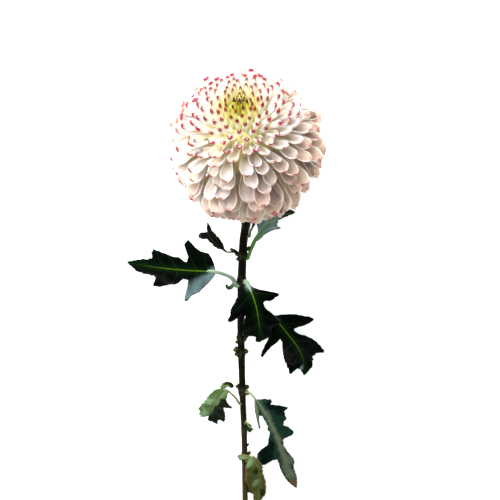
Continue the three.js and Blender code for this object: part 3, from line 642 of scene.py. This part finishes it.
def stem_finish():
    """Stem skin: near black by the bloom, brown and streaked toward the foot, grey green round its nodes."""
    finish = Finish("stem_bark")
    uv, _, along = finish.uv()
    node = finish.attribute("node")
    streak = finish.noise(finish.scaled(uv, (9.0, 60.0, 1.0)), 1.0, 5.0)
    flute = finish.noise(finish.scaled(uv, (22.0, 1.5, 1.0)), 1.0, 2.0)
    top = finish.mix(streak, rgb(4, 4, 1), rgb(16, 13, 6))
    foot = finish.mix(streak, rgb(26, 20, 8), rgb(72, 60, 36))
    skin = finish.mix(finish.step(along, 0.5, 0.95), top, foot)
    ridge = finish.mix(finish.step(along, 0.4, 0.95), rgb(26, 22, 14), rgb(112, 92, 60))
    skin = finish.mix(finish.step(flute, 0.56, 0.7, 0.0, 0.7), skin, ridge)
    scar = finish.times(node, finish.step(streak, 0.35, 0.65))
    skin = finish.mix(finish.times(scar, 0.8), skin, rgb(50, 54, 30))
    finish.colour(skin)
    finish.bump(finish.plus(flute, finish.times(streak, 0.5)), 0.7, 0.0007)
    finish.set(Roughness=0.6, Specular_IOR_Level=0.04)
    return finish.material


def stalk_finish(name, low, high):
    finish = Finish(name)
    patch = finish.noise(finish.place(), 220.0)
    finish.colour(finish.mix(patch, low, high))
    finish.bump(finish.noise(finish.place(), 1400.0), 0.4, 0.0002)
    finish.set(Roughness=0.5)
    return finish.material


def floor_finish():
    finish = Finish("table_top")
    grain = finish.noise(finish.place(), 30.0, 2.0)
    finish.colour(finish.mix(grain, rgb(252, 252, 252), rgb(255, 255, 255)))
    finish.set(Roughness=0.9, Specular_IOR_Level=0.1, Emission_Strength=0.55)
    finish.shader.inputs["Emission Color"].default_value = (1, 1, 1, 1)
    return finish.material


FINISHES = {
    "petal_face": petal_finish("petal_face", back=False),
    "petal_back": petal_finish("petal_back", back=True),
    "floret_roots": core_finish(),
    "stem_bark": stem_finish(),
    # The pale blue grey of leaf_dark also paints the sheen on the lower lobe of leaf_left.
    "leaf_dark": leaf_finish("leaf_dark", rgb(1, 5, 2), rgb(4, 26, 6), rgb(82, 112, 18), rgb(106, 132, 134),
                             rgb(1, 4, 1), blotch=0.2),
    "leaf_dry": leaf_finish("leaf_dry", rgb(8, 11, 5), rgb(22, 24, 14), rgb(40, 42, 22), rgb(96, 104, 96),
                            rgb(5, 7, 3), side_veins=0.05, blotch=0.9, edge=rgb(52, 56, 44)),
    "leaf_underside": leaf_finish("leaf_underside", rgb(92, 122, 122), rgb(126, 156, 142), rgb(136, 170, 124),
                                  rgb(160, 184, 184), rgb(14, 24, 18), side_veins=0.4),
    "leaf_wilted": leaf_finish("leaf_wilted", rgb(84, 112, 62), rgb(108, 138, 88), rgb(132, 158, 104),
                               rgb(144, 178, 136), rgb(3, 12, 2), blotch=1.1),
    "leaf_browned": leaf_finish("leaf_browned", rgb(22, 50, 40), rgb(84, 102, 80), rgb(112, 124, 98),
                                rgb(100, 114, 88), rgb(3, 18, 14), brown=0.85, glow=4.5),
    "leaf_olive": leaf_finish("leaf_olive", rgb(72, 82, 34), rgb(86, 92, 46), rgb(104, 108, 58),
                              rgb(116, 148, 104), rgb(24, 42, 6), blotch=1.1, edge=rgb(122, 88, 54)),
}
STALK_COLOURS = {
    "leaf_stalk": (rgb(96, 132, 84), rgb(172, 198, 176)),
    "stalk_soft": (rgb(86, 104, 58), rgb(140, 158, 116)),
    "stalk_dark": (rgb(22, 32, 10), rgb(56, 66, 28)),
    "stalk_fresh": (rgb(38, 90, 8), rgb(96, 146, 66)),
    "stalk_green": (rgb(52, 82, 22), rgb(92, 122, 50)),
    "cup_green": (rgb(70, 88, 44), rgb(120, 138, 84)),
    "stem_pith": (rgb(196, 190, 150), rgb(222, 216, 184)),
}
for stalk, colours in STALK_COLOURS.items():
    FINISHES[stalk] = stalk_finish(stalk, *colours)


# Pieces


def finished(bm, name, slot, node, *finishes):
    """Turns a bmesh in millimetres into a smooth piece that rides on the flower and replaces its solid."""
    bmesh.ops.scale(bm, verts=bm.verts, vec=(MM, MM, MM))
    mesh = bpy.data.meshes.new(name)
    bm.to_mesh(mesh)
    bm.free()
    mesh.polygons.foreach_set("use_smooth", [True] * len(mesh.polygons))
    piece = bpy.data.objects.new(name, mesh)
    bpy.context.scene.collection.objects.link(piece)
    for finish in finishes:
        mesh.materials.append(FINISHES[finish])
    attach(piece, "root")
    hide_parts(node)
    return piece


def thicken(piece, thickness, rounded=False):
    """Gives a sheet its thickness, with the second material on the back and the rim."""
    skin = piece.modifiers.new("thickness", "SOLIDIFY")
    skin.thickness = thickness * MM
    skin.offset = 0
    skin.material_offset = 1
    skin.material_offset_rim = 1
    if rounded:
        smoother = piece.modifiers.new("rounding", "SUBSURF")
        smoother.levels = 1
        smoother.render_levels = 1


def grid(bm, columns, rows):
    """A unit grid in the bmesh, as a list of (vertex, across from -1 to 1, along from 0 to 1)."""
    made = bmesh.ops.create_grid(bm, x_segments=columns, y_segments=rows, size=0.5, calc_uvs=True)
    return [(v, v.co.x * 2, v.co.y + 0.5) for v in made["verts"]]


def tube(bm, line, radius_at, sides=10, rows=24):
    """A round skin along a line, closed at both ends."""
    ring = grid(bm, sides, rows)
    for vertex, across, along in ring:
        heading = line.heading(along)
        side = heading.cross(UP).normalized()
        out = side.cross(heading)
        angle = math.pi * across
        radius = radius_at(along, angle)
        vertex.co = line.point(along) + side * (radius * math.sin(angle)) + out * (radius * math.cos(angle))
    shell = [vertex for vertex, across, along in ring]
    bmesh.ops.remove_doubles(bm, verts=shell, dist=0.01)
    open_edges = [edge for edge in bm.edges if edge.is_boundary]
    return bmesh.ops.holes_fill(bm, edges=open_edges)["faces"]


# Bloom


def bloom_direction(turn):
    return BLOOM_ACROSS * math.cos(turn) + BLOOM_CROWN * math.sin(turn)


def bloom_point(reach, height, turn):
    return BLOOM_CENTRE + BLOOM_AXIS * height + bloom_direction(turn) * reach


def polar(degrees, reach):
    angle = math.radians(degrees)
    return Vector((reach * math.sin(angle), reach * math.cos(angle)))


def pressed_flat(height):
    """Florets under the bloom are pressed flat by its weight."""
    share = clamp((height - PRESS_FLAT) / (PRESS_TOP - PRESS_FLAT))
    return height if height > PRESS_TOP else lerp(0.1, PRESS_TOP, share ** 1.4)


def floret_places():
    """Angle from the middle of the face and turn round the axis of every floret, from the centre outwards."""
    level = math.cos(math.radians(FIRST_FLORET))
    places = []
    while level > math.cos(math.radians(LAST_FLORET)):
        theta = math.degrees(math.acos(level))
        places.append((theta, math.radians(GOLDEN_ANGLE) * len(places)))
        level -= 0.9 * value_at(SPACING, theta) ** 2 / (2 * math.pi * BALL_RADIUS ** 2)
    return places


def curled(across, curl, roll):
    """Place across a curled strip of half width 1. A high roll keeps its middle flat and its edges curled."""
    steps = 8
    x = y = 0.0
    for k in range(steps):
        angle = curl / 2 * ((k + 0.5) / steps * abs(across)) ** roll
        x += math.cos(angle) * abs(across) / steps
        y += math.sin(angle) * abs(across) / steps
    return math.copysign(x, across), y


def add_floret(bm, layers, theta, turn, draw):
    """One ray floret: a sheet that is rolled to a quill at its root and opens to a spoon at its tip."""
    opened = smooth(SPOONS_FROM, SPOONS_TO, theta)
    side = bloom_direction(turn).x
    # The side term is painted shade on the viewer's right and painted light on the left, carried in the age
    # value.
    age_and_shade = theta / LAST_FLORET + PAINTED_SIDE_SHADE * max(side, LIT_SIDE_SHARE * side) * smooth(40, 75, theta)
    tint = draw.random()
    drop = draw.gauss(0, lerp(0.6, 1.1, opened))
    theta += draw.gauss(0, lerp(0.8, 1.8, opened))
    turn += math.radians(draw.gauss(0, lerp(1.5, 3.4, opened)))
    lean = value_at(LEAN, theta) + draw.gauss(0, lerp(3.0, 5.5, opened))
    tip = polar(theta, value_at(TIP_REACH, theta) + drop)
    root_theta = value_at(ROOT_PLACES, theta)
    root = polar(root_theta, value_at(CORE_UNDERSIDE, root_theta) - ROOT_SUNK)
    outward = root_theta - 20 * clamp((root_theta - 90) / 45)
    line = [root, root + polar(outward, FLORET_HANDLE), tip - polar(theta + lean, FLORET_HANDLE), tip]
    width = value_at(FLAT_WIDTH, theta) * draw.uniform(0.9, 1.08)
    tip_curl = value_at(TIP_CURL, theta) * draw.uniform(0.88, 1.1)
    roll_in = lerp(1.0, 1.7, opened)
    twist = math.radians(draw.gauss(0, lerp(8, 14, opened)))
    sway = draw.gauss(0, lerp(0.6, 1.6, opened))
    rounded = lerp(1.5, 2.4, opened)
    notch = draw.uniform(0.2, 1.3) * smooth(85, 110, theta)
    wave = draw.uniform(0, 6.3)
    rim_height = width / 2 * curled(1, math.radians(tip_curl), roll_in)[1]
    bowl = lerp(0.55, 0.85, opened) * draw.uniform(0.7, 1.1) * (1 - 0.6 * smooth(95, 120, theta))
    for vertex, across, row in grid(bm, 6, 10):
        along = 1 - (1 - row) ** 1.5
        end = clamp((along - BLUNT_TIP) / (1 - BLUNT_TIP))
        centre = cubic(line, along)
        heading = cubic_heading(line, along)
        ripple = 1 + 0.06 * math.sin(wave + 9 * along + 2 * across)
        flat = width * lerp(0.5, 1.0, smooth(0.15, 0.8, along)) * ripple
        flat *= max(0.12, 1 - end ** rounded) ** 0.5
        curl = math.radians(lerp(QUILL_CURL, tip_curl, smooth(0.3, 0.8, along)))
        lateral, rise = (flat / 2 * number for number in curled(across, curl, lerp(1.0, roll_in, along)))
        rise += rim_height * bowl * end ** 1.6
        reach = notch * (0.5 - math.cos(2 * math.pi * across)) * end
        turned = twist * along
        lateral, rise = (lateral * math.cos(turned) - rise * math.sin(turned),
                         lateral * math.sin(turned) + rise * math.cos(turned))
        lateral += sway * along * along
        place = centre + heading * reach + Vector((-heading.y, heading.x)) * rise
        point = bloom_point(place.x, place.y, turn) + bloom_direction(turn - math.pi / 2) * lateral
        underside = bloom_point(centre.x, centre.y, turn).z - 1
        point.z = max(TABLE_CLEARANCE, point.z + pressed_flat(underside) - underside)
        vertex.co = point
        vertex[layers["age_and_shade"]] = age_and_shade
        vertex[layers["tint"]] = tint


def new_sheet(*names):
    """An empty bmesh with a UV map and named vertex values."""
    bm = bmesh.new()
    bm.loops.layers.uv.new("weave")
    return bm, {name: bm.verts.layers.float.new(name) for name in names}


def make_bloom():
    draw = random.Random(27)
    bands = [("florets_heart", 0, 40), ("florets_middle", 40, 76), ("florets_outer", 76, 108),
             ("florets_lower", 108, 180)]
    places = floret_places()
    for name, low, high in bands:
        bm, layers = new_sheet("age_and_shade", "tint")
        for theta, turn in places:
            if low <= theta < high:
                add_floret(bm, layers, theta, turn, draw)
        piece = finished(bm, name, "petal", "ray_florets", "petal_face", "petal_back")
        thicken(piece, FLORET_THICKNESS, rounded=True)
    bm = bmesh.new()
    bmesh.ops.create_uvsphere(bm, u_segments=48, v_segments=32, radius=CORE_RADIUS)
    bmesh.ops.translate(bm, verts=bm.verts, vec=BLOOM_CENTRE + BLOOM_AXIS * CORE_FORWARD)
    finished(bm, "floret_roots", "petal", "ray_florets", "floret_roots")


def make_heart():
    """The tight knot in the middle of the face: short quills that still close over it."""
    draw = random.Random(5)
    bm, layers = new_sheet("age_and_shade", "tint")
    for k in range(HEART_FLORETS):
        theta = HEART_SPREAD * math.sqrt((k + 0.4) / HEART_FLORETS)
        turn = math.radians(GOLDEN_ANGLE) * k
        tip = polar(theta, HEART_REACH + draw.gauss(0, 0.5))
        root = Vector((tip.x * 0.8, HEART_ROOT))
        line = [root, root + polar(theta * 1.4, 4), tip - polar(-theta * 2.2, 4), tip]
        width = draw.uniform(3.2, 4.2)
        for vertex, across, row in grid(bm, 6, 8):
            along = 1 - (1 - row) ** 1.4
            centre = cubic(line, along)
            heading = cubic_heading(line, along)
            flat = width * max(0.1, 1 - clamp((along - 0.8) / 0.2) ** 1.8) ** 0.5
            lateral, rise = (flat / 2 * number for number in curled(across, math.radians(300), 1.0))
            place = centre + Vector((-heading.y, heading.x)) * (rise + 0.6 * smooth(0.8, 1, along))
            vertex.co = (bloom_point(place.x, place.y, turn)
                         + bloom_direction(turn - math.pi / 2) * lateral)
            vertex[layers["age_and_shade"]] = 0.0
            vertex[layers["tint"]] = draw.random()
    piece = finished(bm, "heart_florets", "petal_heart", "centre_florets", "petal_face", "petal_back")
    thicken(piece, HEART_THICKNESS, rounded=True)


def make_cup():
    """The green cup behind the bloom, with three rings of bracts."""
    bm = new_sheet()[0]
    for vertex, across, along in grid(bm, 28, 10):
        radius = CUP_FOOT + CUP_FLARE * math.sin(along * math.pi / 2) ** 0.8
        height = CUP_FLOOR + 0.3 + CUP_HEIGHT * along ** 1.5
        vertex.co = bloom_point(radius, height, math.pi * across)
    bmesh.ops.remove_doubles(bm, verts=bm.verts, dist=0.01)
    for ring in range(BRACT_RINGS):
        line = [Vector(place) + Vector(shift) * ring for place, shift in zip(BRACT_LINE, BRACT_SHIFT)]
        for k in range(BRACTS_IN_RING):
            turn = 2 * math.pi * (k + ring / BRACT_RINGS) / BRACTS_IN_RING
            for vertex, across, along in grid(bm, 4, 8):
                centre = cubic(line, along)
                flat = BRACT_WIDTH * (1 - along ** 2.2) ** 0.5 + 0.1
                bow = (1 - across * across) * BRACT_BOW
                heading = cubic_heading(line, along)
                place = centre - Vector((-heading.y, heading.x)) * bow
                vertex.co = (bloom_point(place.x, place.y, turn)
                             + bloom_direction(turn - math.pi / 2) * (across * flat / 2))
    piece = finished(bm, "involucre_bracts", "cup_green", "involucre", "cup_green")
    thicken(piece, CUP_THICKNESS)
    piece.modifiers["thickness"].material_offset = 0
    piece.modifiers["thickness"].material_offset_rim = 0


# Stem and leaves


NECK = [bloom_point(0, CUP_FLOOR, 0), bloom_point(0, CUP_FLOOR - 12, 0)]
STEM = Line(NECK + [Vector(p) for p in STEM_LINE])


def stem_radius(along):
    y = STEM.point(along).y
    taper = lerp(TOP_RADIUS, FOOT_RADIUS, smooth(60, -130, y))
    return taper + sum(swell * math.exp(-((y - place) / half) ** 2) for place, swell, half in STEM_NODES)


def node_share(y):
    return clamp(sum(math.exp(-((y - place) / (half * 1.3)) ** 2) for place, swell, half in STEM_NODES))


def make_stem():
    bm, layers = new_sheet("node")

    def skin(along, angle):
        flutes = 0.05 * math.cos(5 * angle + 0.6) + 0.03 * math.cos(8 * angle)
        lumps = noise.noise(Vector((math.cos(angle) * 1.4, math.sin(angle) * 1.4, along * 90)))
        rough = 0.1 + 0.35 * node_share(STEM.point(along).y)
        return stem_radius(along) * (1 + flutes) + lumps * rough

    caps = tube(bm, STEM, skin, sides=22, rows=300)
    for face in caps:
        face.material_index = 1
    end = STEM.point(1)
    for vertex in bm.verts:
        if (vertex.co - end).length < FOOT_RADIUS * 1.6:
            near = smooth(FOOT_RADIUS * 1.8, 0, abs(vertex.co.y - end.y))
            vertex.co.y -= (vertex.co.z - end.z) * 0.7 * near
        vertex.co.z = max(STEM_CLEARANCE, vertex.co.z)
        vertex[layers["node"]] = node_share(vertex.co.y)
    finished(bm, "stem_skin", "stem_bark", "stem", "stem_bark", "stem_pith")
    bm, layers = new_sheet("node")
    draw = random.Random(3)
    for y, angle, length, thick in STUBS:
        along = STEM.place_of(y)
        heading = STEM.heading(along)
        side = heading.cross(UP).normalized()
        out = side.cross(heading)
        turn = math.radians(angle)
        away = (side * math.cos(turn) + out * math.sin(turn) - heading * 0.5).normalized()
        foot = STEM.point(along) + away * (stem_radius(along) - STUB_SUNK)
        bend = foot + away * (STUB_SUNK + length * 0.5)
        line = Line([foot, bend, foot + away * (STUB_SUNK + length) - heading * length * 0.3])
        phase = draw.uniform(0, 6)

        def stub(share, a):
            lumpy = 1 + 0.25 * math.cos(3 * a + phase) + 0.2 * math.sin(7 * share + 2 * a + phase)
            return thick * lerp(1.15, 0.7, share) * lumpy

        tube(bm, line, stub, sides=10, rows=8)
    for vertex in bm.verts:
        vertex.co.z = max(STEM_CLEARANCE, vertex.co.z)
        vertex[layers["node"]] = 0.9
    finished(bm, "stem_stubs", "stem_bark", "stem", "stem_bark")


def margin_lengths(margin, length):
    """The distance run along a leaf's margin, as a list of (place along the rib, distance)."""
    run, table, steps = 0.0, [(0.0, 0.0)], 120
    for k in range(steps):
        rise = eased_at(margin, (k + 1) / steps) - eased_at(margin, k / steps)
        run += math.hypot(length / steps, rise)
        table.append(((k + 1) / steps, run))
    return table


def toothed(margin, lengths, along, length, bite, seed):
    """Length of the side vein at a place, with forward teeth that follow the margin round its lobes."""
    uneven = noise.noise(seed + Vector((value_at(lengths, along) * 0.05, 0, 0)))
    saw = (value_at(lengths, along) / (TOOTH_LENGTH * bite) + uneven) % 1
    tooth = saw ** 1.4 if saw < 0.8 else 0.73 * (1 - saw) / 0.2
    depth = TOOTH_DEPTH * bite * (0.8 + uneven) * (tooth - 0.3)
    step = 0.004
    slope = (eased_at(margin, along + step) - eased_at(margin, along - step)) / (2 * step * length)
    steep = abs(slope) / math.hypot(1, slope)
    shifted = clamp(along + math.copysign(steep * depth / length, slope))
    reach = eased_at(margin, shifted)
    return max(0.15, reach + (1 - steep) * depth * clamp(reach / (6 * bite)))


def add_leaf_sheet(bm, layers, leaf, rows=190, columns=18):
    rib = [Vector(p) for p in leaf["rib"]]
    up = Vector(leaf.get("up", UP))
    length = sum((cubic(rib, (k + 1) / 20) - cubic(rib, k / 20)).length for k in range(20))
    roll = math.radians(leaf["roll"])
    broad = max(vein for place, vein in leaf["left"] + leaf["right"])
    bite = clamp(broad / 12, 0.4, 1)
    seed = Vector((leaf["foot"] * 0.37, 1.7, 3.1))
    lengths = {side: margin_lengths(leaf[side], length) for side in ("left", "right")}
    for vertex, across, along in grid(bm, columns, rows):
        heading = cubic_heading(rib, along)
        left = up.cross(heading).normalized()
        normal = heading.cross(left)
        side = "left" if across < 0 else "right"
        side_seed = seed + Vector((0, math.copysign(3, across), 0))
        reach = toothed(leaf[side], lengths[side], along, length, bite, side_seed)
        vein = abs(across) * reach
        sweep = math.radians(lerp(leaf["sweep"][0], leaf["sweep"][1], along))
        sideways = left * ((1 if across < 0 else -1) * math.cos(roll)) + normal * math.sin(roll)
        nearest = min(abs(along - place) for place in leaf["veins"]) * length * math.sin(sweep)
        puff = 0.5 * bite * (1 - math.exp(-nearest / 2.2)) * smooth(0, 3, vein)
        ripple = noise.noise(seed + Vector((along * length, vein, across)) * 0.11) * 0.12 * vein
        arch = 0.12 * vein * (1 - abs(across))
        point = (cubic(rib, along) + heading * (vein * math.cos(sweep)) + sideways * (vein * math.sin(sweep))
                 + normal * (arch + puff + ripple - VEIN_GROOVE * math.exp(-vein / 0.8)))
        point.z = settle(point.z, LEAF_REST, LEAF_REST_BEND)
        vertex.co = point
        vertex[layers["rib"]] = vein
        vertex[layers["side_vein"]] = nearest + 0.02 * vein
        signed = math.copysign(vein, across)
        shade = 0
        for place, off, radius, amount in leaf["patches"]:
            gap = math.hypot((along - place) * length, signed - off)
            shade += amount * math.exp(-(gap / radius) ** 2)
        vertex[layers["shade"]] = clamp(shade, -1, 1)


SLOTS = {part["node"]: part["material_slot"] for part in frame["record"]["subparts"]}


def finish_blade(bm, name, node, leaf):
    blade = finished(bm, name, SLOTS[node], node, leaf["face"], leaf.get("back", leaf["face"]))
    thicken(blade, LEAF_THICKNESS)


def make_leaflet(leaf):
    bm, layers = new_sheet("rib", "side_vein", "shade")
    add_leaf_sheet(bm, layers, leaf, rows=30, columns=8)
    finish_blade(bm, leaf["name"], leaf["parent"], leaf)


def make_leaf(leaf):
    bm, layers = new_sheet("rib", "side_vein", "shade")
    add_leaf_sheet(bm, layers, leaf)
    name = leaf["name"]
    finish_blade(bm, name + "_blade", name, leaf)
    along = STEM.place_of(leaf["foot"])
    axis = STEM.point(along)
    bend = Vector(leaf["stalk"])
    away = bend - axis
    away = (away - STEM.heading(along) * away.dot(STEM.heading(along))).normalized()
    rib = [Vector(p) for p in leaf["rib"]]
    foot = axis + away * (stem_radius(along) - STALK_SUNK)
    thick, thin = leaf.get("thick", (1.15, 0.85))
    points = [foot, foot + away * 2.4, bend, cubic(rib, 0)]
    below = UP * (0.9 if leaf.get("up", UP)[2] > 0 else -0.9)
    points += [cubic(rib, place) - below for place in (0.12, 0.3, 0.5)]
    line = Line(points)
    bm = new_sheet()[0]

    def stalk(share, a):
        half = lerp(thick, thin, smooth(0, 0.35, share)) * lerp(1, 0.3, smooth(0.42, 0.9, share))
        half += 0.6 * math.exp(-share * 22)
        flat = lerp(0.8, 0.5, smooth(0, 0.3, share)) * half
        return 1 / math.hypot(math.sin(a) / half, math.cos(a) / flat)

    tube(bm, line, stalk, sides=10, rows=60)
    for vertex in bm.verts:
        vertex.co.z = max(STALK_CLEARANCE, vertex.co.z)
    finished(bm, name + "_stalk", SLOTS[name], name, leaf.get("stem_look", "stalk_green"))


def make_bud():
    """A small dry bud in the axil of the upper left leaf."""
    bm, layers = new_sheet("node")
    line = Line([Vector((6.6, 65.4, 22.4)), Vector((4.2, 67.6, 23.8)), Vector((1.9, 69.9, 24.8))])

    def bud(share, a):
        return 1.7 * (0.55 + 0.9 * share - 0.95 * share * share) * (1 + 0.12 * math.cos(5 * a + 6 * share))

    tube(bm, line, bud, sides=14, rows=14)
    for vertex in bm.verts:
        vertex[layers["node"]] = smooth(4.0, 2.2, vertex.co.x)
    finished(bm, "bud_upper_left", SLOTS["leaf_upper_left"], "leaf_upper_left", "stem_bark")


# Stage


def make_floor():
    bm = bmesh.new()
    bmesh.ops.create_grid(bm, x_segments=1, y_segments=1, size=6.0)
    mesh = bpy.data.meshes.new("table_top")
    bm.to_mesh(mesh)
    bm.free()
    floor = bpy.data.objects.new("table_top", mesh)
    mesh.materials.append(floor_finish())
    bpy.context.scene.collection.objects.link(floor)


def add_light(name, toward, distance, size, power, colour):
    """A soft square light on the side of the flower that toward points to."""
    lamp = bpy.data.lights.new(name, "AREA")
    lamp.energy = power
    lamp.size = size
    lamp.color = colour
    light = bpy.data.objects.new(name, lamp)
    aim = Vector((0.012, 0.06, 0.02))
    away = Vector(toward).normalized()
    light.location = aim + away * distance
    light.rotation_euler = away.to_track_quat("Z", "Y").to_euler()
    bpy.context.scene.collection.objects.link(light)


def make_light():
    world = bpy.data.worlds.new("studio")
    world.use_nodes = True
    sky = world.node_tree.nodes["Background"]
    sky.inputs["Color"].default_value = (1, 1, 1, 1)
    sky.inputs["Strength"].default_value = WORLD_SHARE
    bpy.context.scene.world = world
    add_light("key_upper_left", (-0.55, 0.88, 0.5), 1.6, 1.3, KEY_POWER, (1.0, 0.985, 0.96))
    add_light("overhead", (0.0, 0.5, 1.0), 1.8, 1.6, OVERHEAD_POWER, (1.0, 1.0, 1.0))


def make_camera():
    tilt = math.radians(CAMERA_TILT)
    right = Vector((1, 0, 0))
    top = Vector((0, math.cos(tilt), -math.sin(tilt)))
    back = Vector((0, math.sin(tilt), math.cos(tilt)))
    camera = bpy.data.objects.new("camera", bpy.data.cameras.new("camera"))
    camera.data.lens = CAMERA_LENS
    camera.data.sensor_width = 36
    camera.data.clip_start = 0.02
    turned = Matrix((right, top, back)).transposed().to_4x4()
    camera.matrix_world = Matrix.Translation(CAMERA_PLACE * MM) @ turned
    bpy.context.scene.collection.objects.link(camera)
    bpy.context.scene.camera = camera


make_camera()
make_light()
make_floor()
make_bloom()
make_heart()
make_cup()
make_stem()
for leaf in LEAVES:
    make_leaf(leaf)
for leaf in LEAFLETS:
    make_leaflet(leaf)
make_bud()
bpy.context.scene.view_settings.view_transform = "Standard"
